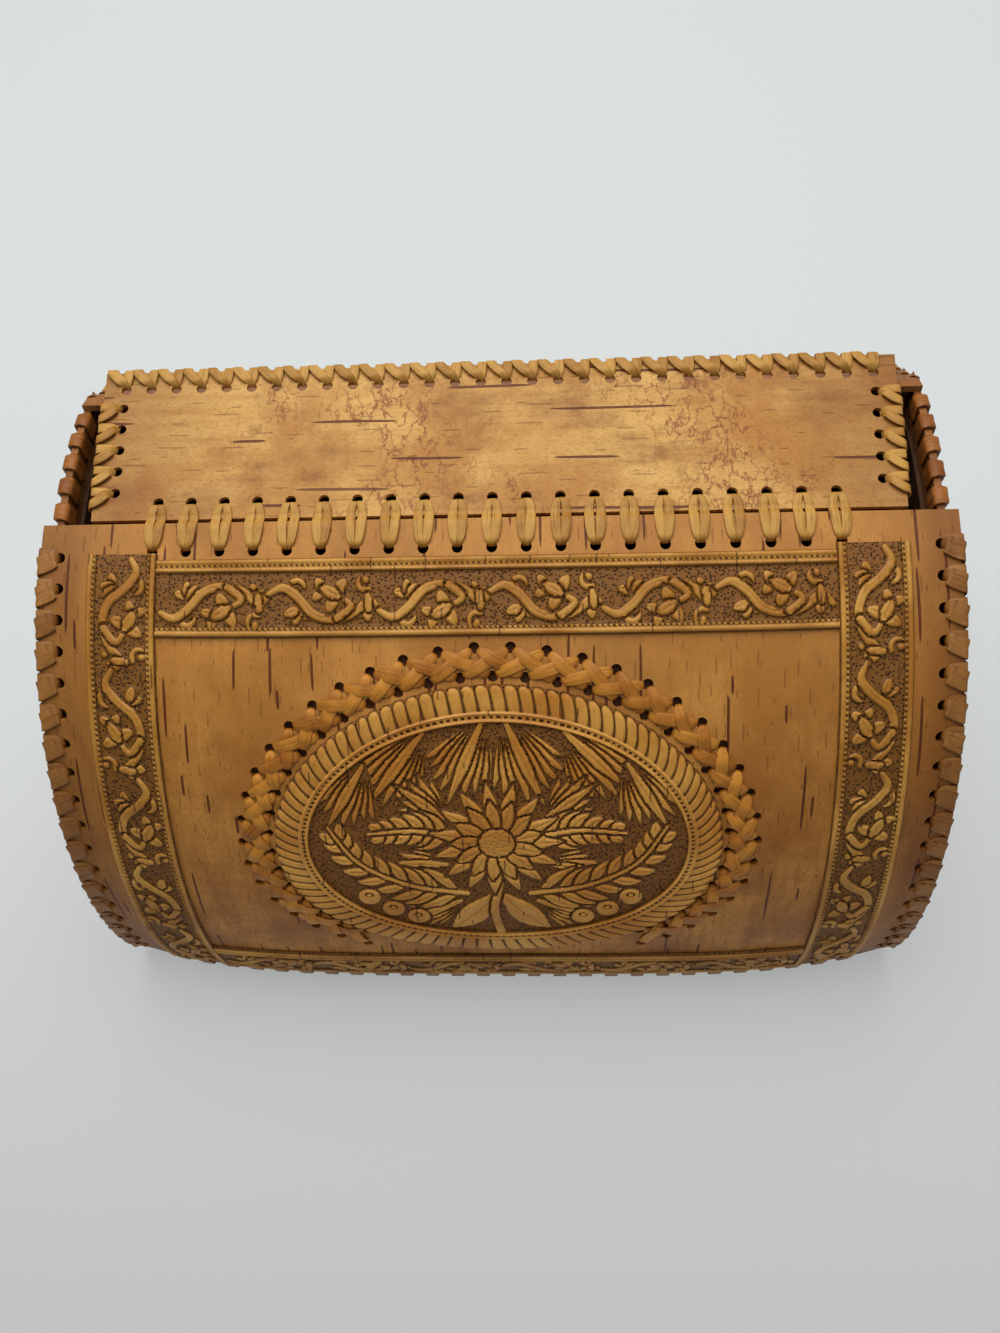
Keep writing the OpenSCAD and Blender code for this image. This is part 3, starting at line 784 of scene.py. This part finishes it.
def rim_of_feathers():
    """Points, heights and faces of the rim."""
    n, rows = FEATHERS * 14, 34
    turn, out = np.meshgrid(np.arange(n) / n * 2 * np.pi, np.linspace(0, 1, rows),
                            indexing="ij")
    # A feather leans more the farther out it goes, has a fine shaft and ends round.
    from_bead = np.clip((out * RIM - BEADED) / (RIM - BEADED), 0, 1)
    lean = (1.6 * np.cos(turn) + 0.35) * from_bead ** 1.3
    off = (FEATHERS * turn / (2 * np.pi) - lean) % 1.0 - 0.5
    round_end = np.clip((from_bead - 0.72) / 0.28, 0, 1)
    body = np.clip(1 - (np.abs(off) / 0.49) ** 2.8 - round_end ** 2 * 0.92, 0, 1)
    height = np.sqrt(body) * (0.55 + 0.45 * np.sqrt(from_bead))
    height -= 0.09 * np.exp(-(off / 0.07) ** 2) * (from_bead > 0.05) * (from_bead < 0.7)
    # Inside the feathers two beads run round, with a row of dashes between them.
    from_edge = out * RIM
    bead = np.minimum(np.abs(from_edge - 0.4), np.abs(from_edge - 2.35)) / 0.42
    bead = np.sqrt(np.clip(1 - bead ** 2, 0, 1))
    dash = (np.sin(turn * 176) > 0.1) & (np.abs(from_edge - 1.4) < 0.28)
    flat = np.where(from_edge < BEADED, 0.62, 0)
    height = np.maximum(height * (from_edge > BEADED), np.maximum(bead, flat)) - 0.6 * dash
    height = np.clip(height, 0, 1)
    shrink = 0.035 * (np.clip(np.abs(off) * 2, 0, 1) ** 2) * (out > 0.93)
    reach = (out - shrink) * RIM - RIM
    x = MED_X + (MED_HALF_X + reach) * np.cos(turn)
    s = MED_S - (MED_HALF_S + reach) * np.sin(turn)
    lift = 1.15 + 0.95 * height
    lift[:, -1] = 0.12
    top = on_front(x, s, lift).reshape(-1, 3)
    low = on_front(x[:, 0], s[:, 0], 0.4)
    inner, low_ring = np.arange(n) * rows, n * rows + np.arange(n)
    wall = np.stack([inner, np.roll(inner, -1), np.roll(low_ring, -1), low_ring], 1)
    faces = np.vstack([net_faces(n, rows, around=True), wall])
    # The outer row's number makes the finish paint painted shade on the plate's outer side.
    height[:, -1] = 0.2
    return np.vstack([top, low]), np.concatenate([height.ravel(), np.full(n, 0.1)]), faces


rim_points, rim_height, rim_faces = rim_of_feathers()
print("feathers:", FEATHERS)

# %% [markdown]
# The plant is drawn from back to front, because each stroke cuts clear what it crosses:
# fans first, then ferns, berries and broad leaves, and the flower with its seeds last.

# %% The plant
def fan(carving, at, angle, spread, count, length, half):
    """Narrow leaves spread out from one place, the outer ones first."""
    rng = np.random.default_rng(int(abs(at[0] * 7 + at[1] * 3)))
    offs = np.linspace(-1, 1, count)
    for k in sorted(range(count), key=lambda i: -abs(offs[i])):
        reach = length * (1 - 0.22 * abs(offs[k])) * rng.uniform(0.88, 1.05)
        carving.leaf(at, angle + spread * offs[k], reach, half, 0.15 * offs[k])


def fern(carving, points, pairs, length):
    """A midrib with pairs of narrow leaves that grow shorter to its tip."""
    track = smooth(points, 12)
    for k in range(pairs):
        t = (k + 0.6) / (pairs + 0.4)
        spot = track[int(t * (len(track) - 1))]
        ahead = track[min(int(t * (len(track) - 1)) + 1, len(track) - 1)] - spot
        way = math.atan2(ahead[1], ahead[0]) if ahead.any() else 0
        for side in (-1, 1):
            carving.leaf(spot, way + side * 0.85, length * (1.08 - 0.7 * t), 1.6,
                         -0.35 * side)
    carving.stroke(track[::4], np.linspace(0.9, 0.45, len(track[::4])), steps=2)


SEEDS, GOLDEN_ANGLE = 26, 2.39996   # a sunflower's seeds lie at this angle, in radians


def plant_field():
    """The carved plant, drawn with its second axis upwards."""
    carving = Carving((-54, -38), (54, 38), 0.34)
    for side in (-1, 1):
        for x, y, way, turn, spread, count, length, half in (
                (3, 36, -1, 0.42, 0.5, 9, 27, 1.5), (19, 33, -1, 0.75, 0.55, 10, 27, 1.5),
                (36, 24, -1, 0.55, 0.6, 9, 22, 1.4), (11, -20, -1, 1.15, 0.5, 8, 20, 1.4),
                (14, 9, 1, -0.95, 0.55, 7, 17, 1.3), (14, -6, -1, 1.5, 0.45, 6, 17, 1.3)):
            fan(carving, (side * x, y), way * math.pi / 2 + side * turn, spread, count,
                length, half)
        fern(carving, [(side * 9, -17), (side * 25, -14), (side * 39, -6),
                       (side * 47, 6)], 9, 13.5)
        fern(carving, [(side * 12, 3), (side * 23, 5), (side * 36, 4)], 6, 10.5)
        for spot in ((24, -27), (31, -23.5), (37.5, -18.5)):
            berry = np.array((side * spot[0], spot[1]), float)
            carving.stroke([berry - (0.2, 0), berry + (0.2, 0)], (3.2, 3.2))
            carving.stroke([berry + (-0.3, 0.9), berry + (0.3, 0.9)], (0.5, 0.5), 0.4, 0.2)
        carving.leaf((side * 2, -19), -math.pi / 2 + side * 0.62, 19, 4.2, 0.2 * side)
    carving.stroke([(0, -36), (-1.5, -24), (0.5, -12), (0, 0)], (1.5, 1.3, 1.2, 1.2))
    for count, length, half, turn in ((15, 18.5, 2.2, 0.0), (13, 13.0, 2.0, 0.22)):
        for k in range(count):
            way = turn + k * 2 * math.pi / count
            start = np.array((3.2 * math.cos(way), 1 + 3.2 * math.sin(way)))
            carving.leaf(start, way, length - 3, half, 0.06)
    carving.stroke([(-0.5, 1), (0.5, 1)], (4.4, 4.4))
    for k in range(SEEDS):
        way, far = k * GOLDEN_ANGLE, 4.0 * math.sqrt((k + 0.5) / SEEDS)
        dot = np.array((far * math.cos(way), 1 + far * math.sin(way)))
        carving.vein([dot - (0.1, 0), dot + (0.1, 0)], 0.42, 0.5)
    carving.height = np.clip(carving.height, 0, 1)
    return carving


plant = plant_field()
print("heights in the field:", plant.height.size)

# %% [markdown]
# Only the part of the field inside the rim is kept, and it joins the rim as one piece.

# %% Rim and field as one piece
grid_x, grid_y = np.meshgrid(plant.a, plant.b, indexing="ij")
inside = ((grid_x / (MED_HALF_X - RIM + 1.4)) ** 2
          + (grid_y / (MED_HALF_S - RIM + 1.4)) ** 2) < 1
field_points = on_front(MED_X + grid_x, MED_S - grid_y,
                        0.75 + 0.95 * plant.height).reshape(-1, 3)
field_faces = net_faces(len(plant.a), len(plant.b))
field_faces = field_faces[inside.ravel()[field_faces].all(1)][:, ::-1]
kept, renumber = np.unique(field_faces, return_inverse=True)
medallion = make_piece(
    "medallion_plate", np.vstack([rim_points, field_points[kept]]),
    np.vstack([rim_faces, renumber.reshape(-1, 4) + len(rim_points)]), medallion_bark,
    ["medallion"],
    {"carving": np.concatenate([rim_height, plant.height.ravel()[kept]])})
print("medallion: %d points" % len(medallion.data.vertices))

# %% [markdown]
# ## Bark lacing
# Every edge is bound with narrow strips cut from bark and drawn through the punched
# holes while wet, so a strip narrows where it enters a hole and bulges a little over
# the edge. One strip is a path with a width at each point, and a flat rounded section
# swept along it. Rows of them are laid by one function each, since only the edge they
# go round differs. A curve with a bevel would be quicker, but its section can't narrow
# and turn flat on the bark at the same time.

# %% One strip, and many
SECTION = np.array([(-1, -0.4), (-0.84, -1), (0, -0.9), (0.84, -1), (1, -0.4), (1, 0.4),
                    (0.84, 1), (0, 1.12), (-0.84, 1), (-1, 0.4)])
STRIP_T = 0.8


def strip(p, sides, widths, thick):
    """Points round a strip along p; sides say which way its width lies."""
    tangent = np.gradient(p, axis=0)
    tangent /= np.linalg.norm(tangent, axis=1)[:, None] + 1e-9
    side = sides - (sides * tangent).sum(1)[:, None] * tangent
    side = side / (np.linalg.norm(side, axis=1)[:, None] + 1e-9)
    normal = np.cross(side, tangent)
    half = widths[:, None, None] / 2
    return (p[:, None] + side[:, None] * SECTION[None, :, :1] * half
            + normal[:, None] * SECTION[None, :, 1:] * thick / 2)


def lace(name, strips, finish, nodes, seed, body="box"):
    """One piece made of many strips."""
    rng = np.random.default_rng(seed)
    points, faces, marks, first = [], [], [], 0
    for rings in strips:
        n, m = rings.shape[:2]
        i, j = (g.ravel() for g in np.meshgrid(np.arange(n - 1), np.arange(m),
                                               indexing="ij"))
        k = (j + 1) % m
        walls = np.stack([i * m + j, i * m + k, (i + 1) * m + k, (i + 1) * m + j], 1)
        faces += (first + walls).tolist()
        faces += [list(range(first + m - 1, first - 1, -1)),
                  list(range(first + (n - 1) * m, first + n * m))]
        points.append(rings.reshape(-1, 3))
        lengths = np.linalg.norm(np.diff(rings.mean(1), axis=0), axis=1)
        far = np.concatenate([[0], np.cumsum(lengths)])
        marks.append(np.stack([np.repeat(far + rng.uniform(0, 900), m),
                               np.tile(SECTION[:, 0], n),
                               np.full(n * m, rng.uniform())]))
        first += n * m
    print("%s: %d strips" % (name, len(strips)))
    return make_piece(name, np.vstack(points), faces, finish, nodes,
                      dict(zip(("along", "across", "tone"), np.hstack(marks))), body)


def round_the_edge(path, widths, place, at, lean=0, steps=3, thick=STRIP_T):
    """A strip along path, in the plane across an edge; at is its place on the edge.
    lean moves the points of the path sideways along the edge."""
    lean = np.broadcast_to(lean, len(path))
    u, v, width, lean = smooth(np.column_stack([path, widths, lean]), steps).T
    w = at + lean
    return strip(place(u, v, w), place(u, v, w + 0.5) - place(u, v, w - 0.5), width, thick)


print("points round a strip:", len(SECTION))

# %% [markdown]
# Each strip knows its own length, side and tone. The finish lays its fibres along the
# length, darkens its sides where the bark was cut, and gives each strip its own tone.

# %% The finish of lacing strips
def strip_bark(name, shades, seed):
    """Fibres run along a strip, its edges are darker, and no two strips are alike."""
    finish = Finish(name)
    dark, middle, pale = (paint(*shade) for shade in shades)
    along, across = finish.measure("along"), finish.measure("across")
    tone = finish.measure("tone")
    fibre = finish.noise((along * 0.12, across * 3.2, tone * 40.0), 4.0, 0.65)
    patch = finish.noise((along * 0.2, across * 0.4, tone * 40.0 + seed), 2.0)
    finish.colour = finish.mix((tone * 0.45 + patch * 0.7).rise(0.1, 0.8), middle, pale)
    finish.coat(fibre.rise(0.48, 0.78) * 0.7, dark)
    finish.coat(across.size().rise(0.86, 1.0) * 0.45, dark)
    return finish.done(fibre * 0.2 + 0.36, fibre, 0.25)


flap_strip = strip_bark("flap strips", ((110, 62, 16), (174, 116, 42), (220, 166, 80)), 1.0)
side_strip = strip_bark("corner strips", ((88, 48, 18), (142, 88, 38), (174, 118, 56)), 2.0)
rim_strip = strip_bark("rim strips", ((78, 40, 14), (136, 76, 28), (180, 112, 48)), 3.0)
oval_strip = strip_bark("medallion strips", ((90, 44, 8), (166, 94, 22), (222, 148, 52)),
                        4.0)
print("strip finishes: 4")

# %% [markdown]
# ## Lacing of the flap
# On the flap each hole holds two strips, one straight over the edge and one slanting
# across it, which make the twisted edge of the real one. The slanting one passes from
# each hole to the next one under the flap.

# %% Rows on the flap
HINGE = np.array((0, -26.3088, 133.0947))   # a point on the line that the flap turns on
SLOPE = math.atan2(1.912, 41.664) + math.asin(4.54 / 41.708)    # of the closed flap
EDGE_OFF, FACE_OFF = 1.32, 1.92             # from that line to the flap's edge and face
FLAP_T, FLAP_LEN = 1.4, 49.0
LIFT = 0.52                                 # middle of a strip above the bark it lies on


def on_flap(x, y, z):
    """Places on the closed flap; y runs from its hinge edge and z off its face."""
    x, y, z = np.broadcast_arrays(x, y + EDGE_OFF, z - FACE_OFF)
    return np.stack([x, y * math.cos(SLOPE) - z * math.sin(SLOPE),
                     y * math.sin(SLOPE) + z * math.cos(SLOPE)], -1) + HINGE


def edge_loop(t, d, width, top=LIFT, bulge=0.25):
    """A strip out of a hole, over the edge and back into the hole from below, and its
    widths. t is the sheet's thickness and d the hole's distance from the edge."""
    low = -t - LIFT
    path = [(d - 0.35, -t * 0.8), (d - 0.6, -0.1), (d - 1.5, top), (d * 0.5, top + bulge),
            (0.6, top + 0.1), (-0.4, top - 0.25), (-top - 0.02, -t / 2),
            (-0.4, low + 0.25), (0.6, low), (d * 0.5, low), (d - 1.3, low),
            (d - 0.5, -t + 0.1), (d - 0.3, -t / 2)]
    narrow = min(width, 2.1)
    return path, [narrow * 0.8, narrow, width * 0.92, *[width] * 7, width * 0.9, narrow,
                  narrow * 0.8]


def spread(a, b, step):
    return np.linspace(a, b, max(1, round(abs(b - a) / step)) + 1)


FAR_X = spread(-107.4, 107.4, 7.4)
SIDE_Y = spread(36.7, 8.7, 7.4)


def far_edge(u, v, w):
    return on_flap(w, FLAP_LEN - u, v)


def side_edge(side):
    """The flap is 4 mm wider at its far edge than at its hinge."""
    return lambda u, v, w: on_flap(side * (112 + 2 * w / FLAP_LEN - u), w, v)


STRAIGHT = np.linspace(0.1, 1, 13) * -0.2
SLANTED = np.array([0, 0.05, 0.25, 0.55, 0.95, 1.03, 1.08, 1.12, 1.18, 1.32, 1.5, 1.55,
                    1.56])


def twisted_row(places, place, shift, seed):
    """A straight and a slanting strip at each hole."""
    rng, made = np.random.default_rng(seed), []
    for at in places:
        for lean, top in ((STRAIGHT, LIFT), (SLANTED, LIFT + 0.42)):
            path, widths = edge_loop(FLAP_T, HOLE_IN - 0.75, 2.8 + rng.uniform(-0.2, 0.2),
                                     top, 0.1)
            made.append(round_the_edge(path, widths, place, at, lean * shift, thick=0.6))
    return made


for seed, word, places, place, shift in ((1, "far", FAR_X, far_edge, -4.4),
                                         (2, "left", SIDE_Y, side_edge(-1), -3.6),
                                         (3, "right", SIDE_Y, side_edge(1), -3.6)):
    lace("flap_%s_strips" % word, twisted_row(places, place, shift, seed), flap_strip,
         ["flap_lacing_" + word], seed, "flap")

# %% [markdown]
# ## The hinge
# The flap turns on its lacing: two narrow strips leave each hole in the front sheet,
# part a little over the crease and meet again in the flap's hole. They belong to both
# bodies, so they are made as one piece that rides on neither.

# %% Hinge strips
HINGE_X = spread(-93.5, 93.5, 9.3)
FRONT_HOLE, FLAP_HOLE = 7.0, 5.4    # from the crease to the holes on either side


def over_crease(t, lift, w):
    """t runs from -1 at the front sheet's hole to 1 at the flap's hole."""
    front = on_front(w, np.clip(-t, 0, 1) * FRONT_HOLE, lift)
    flap = on_flap(w, np.clip(t, 0, 1) * FLAP_HOLE, lift)
    share = np.clip((t + 0.16) / 0.32, 0, 1)[..., None]
    return front * (1 - share) + flap * share


t = [-0.9, -0.85, -0.74, -0.55, -0.3, -0.08, 0.08, 0.3, 0.54, 0.7, 0.83, 0.88]
lift = np.array([-1.2, -0.1, 0.45, 0.5, 0.55, 0.62, 0.05, 0.35, 0.5, 0.45, -0.1, -0.9])
part = np.array([0.45, 0.5, 0.8, 1.1, 1.3, 1.45, 1.5, 1.4, 1.1, 0.75, 0.5, 0.4])
widths = [1.3, 1.5, 2.1, 2.4, 2.6, 2.7, 2.6, 2.4, 2.2, 1.9, 1.5, 1.3]
rng, hinge_pairs = np.random.default_rng(5), []
for x in HINGE_X:
    for hand in (-1, 1):
        path = np.column_stack([t, lift + (0.12 if hand > 0 else 0)])
        hinge_pairs.append(round_the_edge(path, widths, over_crease, x,
                                          hand * part + rng.uniform(-0.2, 0.2), 4, 0.55))
hinge = lace("hinge_strips", hinge_pairs, flap_strip,
             ["hinge_lacing_front", "hinge_lacing_flap"], 4, None)
tuple(on_front(0, 0.6, 0.4) / 1000)
tuple(on_flap(0, 0.6, 0.4) / 1000)
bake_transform(hinge)

# %% [markdown]
# ## Lacing of the box
# The front corners and the bare rims have two strips at each hole, one straight and one
# slanting over it, and the back corners have one. At a corner a strip comes out of the
# sheet's hole, turns round the corner and goes in through the end wall. Each path is
# given once, across the edge, and a small function lays it at its place along the edge,
# so a row follows its sheet wherever that is bent.

# %% Corners
ROW = 8.6                           # from one strip to the next
DEGREE = math.radians(1) * SHEET_R  # one degree along the sheet, in millimetres
RIM_R = 107                         # radius of an end wall's rim


def corner_row(angles, side, reach, wide, layers, seed):
    """Strips that bind a bent sheet to an end wall. A path's points are distances from
    the box's middle and radii; layers are slants and lifts."""
    rng, made = np.random.default_rng(seed), []
    wall, top = HALF_X + LIFT, SHEET_R + 0.36

    def place(u, v, w):
        return bowed(on_arch(side * u, w / SHEET_R, v))

    for angle in angles:
        for slant, high in layers:
            path = [(119.9, 108.0), (120.1, 109.0), (120.8, top + high),
                    (121.8, top + high), (wall + reach - 0.7, top + high * 0.8),
                    (wall + reach - 0.1, SHEET_R - 0.2), (wall + reach - 0.1, 106.8),
                    (wall + 0.1, 105.4 - reach * 0.7), (wall, 102.6), (wall - 0.3, 101.5),
                    (121.2, 101.0), (120.4, 101.0)]
            width = wide + rng.uniform(-0.3, 0.3)
            widths = [2.2, 2.8, width * 0.85, *[width] * 5, width * 0.8, 2.8, 2.0, 1.8]
            lean = np.array([0, 0, 0.1, 0.35, 0.8, 0.95, 1, 1, 1, 1, 1, 1]) * slant
            made.append(round_the_edge(path, widths, place, angle * DEGREE, lean,
                                       thick=0.5))
    return made


def rim_row(side):
    """Two strips at each hole of an end wall's bare rim."""
    made = []
    for angle in spread(-6.295, 11.192, ROW / DEGREE):
        for lean in (0.0, 2.6):
            path, widths = edge_loop(BARK, HOLE_IN, 4.8, LIFT + lean * 0.15)
            slant = np.linspace(0, 1, len(path)) * lean - lean * 0.3
            made.append(round_the_edge(
                path, widths,
                lambda u, v, w: on_arch(side * (HALF_X + v), w / RIM_R, RIM_R - u),
                math.radians(angle) * RIM_R, slant))
    return made


for side, word in ((-1, "left"), (1, "right")):
    for end, angles, reach, wide, layers, seed in (
            ("front", (19.016, 95.87), 2.8, 5.4, ((0.0, 0.0), (2.8, 0.3)), 10 + side),
            ("back", (-13.016, -95.87), 0.0, 4.4, ((0.0, 0.0),), 20 + side)):
        row = corner_row(spread(*angles, ROW / DEGREE), side, reach, wide, layers, seed)
        lace("%s_corner_strips_%s" % (end, word), row, side_strip,
             ["%s_lacing_%s" % (end, word)], seed)
    lace("rim_strips_" + word, rim_row(side), rim_strip, ["rim_lacing_" + word], 30 + side)

# %% [markdown]
# The back's upper edge and the four feet have one strip per hole. At a foot the strip
# comes out of the sheet's hole, turns under the box and goes up through the floor, and
# the box stands on these strips.

# %% Back edge and feet
FOOT_X, FOOT_Y = spread(-110, 110, ROW), spread(-88.67, 88.67, ROW)
FOOT_WIDTHS = [1.8, 2.2, 3.8, 4.2, 4.2, 4.2, 4.2, 4.2, 4.2, 3.8, 2.2, 1.8]
UNDER = 0.4                         # middle of a strip under the box, above the ground


def back_edge(u, v, w):
    return bowed(on_arch(w, -(BACK_TOP + u / SHEET_R), SHEET_R + v))


path, widths = edge_loop(BARK, HOLE_IN, 4.0)
lace("back_edge_strips", [round_the_edge(path, widths, back_edge, x) for x in FOOT_X],
     rim_strip, ["back_top_lacing"], 40)


def foot_row(side):
    """Strips that bind the front (-1) or the back (1) to the floor. A path's points are
    distances from the box's middle and heights."""
    hole = FOOT - HOLE_IN / SHEET_R
    path = [((SHEET_R + lift) * math.sin(a), AXIS_Z + (SHEET_R + lift) * math.cos(a))
            for lift, a in ((-1.0, hole), (-0.1, hole), (LIFT, hole + 0.9 / SHEET_R),
                            (LIFT + 0.15, hole + 3 / SHEET_R),
                            (LIFT, FOOT - 0.6 / SHEET_R))]
    path += [(FOOT_R + LIFT, 1.6), (FOOT_R + LIFT - 0.35, UNDER + 0.2),
             (FOOT_R - 0.8, UNDER), (103, UNDER), (99.6, UNDER), (98.8, 0.95),
             (98.6, 2.0)]

    def place(u, v, w):
        return bowed(np.stack([w, side * u, v], -1))

    return [round_the_edge(path, FOOT_WIDTHS, place, x) for x in FOOT_X]


def wall_foot_row(side):
    """Strips that bind an end wall to the floor."""
    hole = WALL_Z + HOLE_IN
    path = [(121.0, hole), (121.9, hole), (122.5, hole - 0.8), (122.62, hole - 3),
            (122.52, 3.6), (122.52, 1.6), (122.2, 0.55), (121.2, UNDER), (118, UNDER),
            (114.8, UNDER), (114.1, 0.95), (113.9, 2.0)]

    def place(u, v, w):
        return np.stack([side * u, w, v], -1)

    return [round_the_edge(path, FOOT_WIDTHS, place, y) for y in FOOT_Y]


for seed, end, row in ((41, "front", foot_row(-1)), (42, "back", foot_row(1)),
                       (43, "left", wall_foot_row(-1)), (44, "right", wall_foot_row(1))):
    lace(end + "_foot_strips", row, side_strip, ["foot_lacing_" + end], seed)

# %% [markdown]
# ## Lacing round the medallion
# Two rings of holes hold crossed strips: one layer leans one way, the other leans back,
# and they pass over and under each other like a braid. The rings stop where the lower
# band leaves no room.

# %% The braid round the medallion
HOLES = 46
RING_OFF, RING_GAP = 1.9, 7.4       # from the rim to the inner holes, and to the outer
BRAID_END = 133.86                  # further down the front there is no room for holes


def ring_place(i, outer):
    u = 2 * math.pi * (i + (0 if outer else 0.5)) / HOLES
    off = RING_OFF + (RING_GAP if outer else 0)
    return np.array((MED_X + (MED_HALF_X + off) * math.cos(u),
                     MED_S - (MED_HALF_S + off) * math.sin(u)))


def is_open(i):
    return ring_place(i, True)[1] < BRAID_END


def braid_strip(p, q, over_first):
    """A strip flat on the front from hole p to hole q."""
    t = [0.07, 0.095, 0.17, 0.33, 0.5, 0.67, 0.83, 0.905, 0.93]
    first, last = (1.05, 0.38) if over_first else (0.38, 1.05)
    lift = [-1.0, 0.0, 0.45, first, 0.7, last, 0.45, 0.0, -1.0]
    widths = [1.6, 2.1, 3.1, 3.5, 3.5, 3.5, 3.1, 2.1, 1.6]
    t, lift, widths = smooth(np.column_stack([t, lift, widths]), 3).T
    x, down = (p + (q - p) * t[:, None]).T
    points = on_front(x, down, lift)
    off = on_front(x, down, lift + 1) - points
    run = on_front(*(p + (q - p) * 0.52), 0) - on_front(*(p + (q - p) * 0.48), 0)
    return strip(points, np.cross(run / np.linalg.norm(run), off), widths, 0.45)


braid = []
for i in filter(is_open, range(HOLES)):
    for step, over_first in ((1, False), (-2, True)):
        j = (i + step) % HOLES
        if is_open(j) and is_open(j + 1):
            braid.append(braid_strip(ring_place(i, True), ring_place(j, False), over_first))
lace("medallion_braid", braid, oval_strip, ["medallion_lacing"], 50)
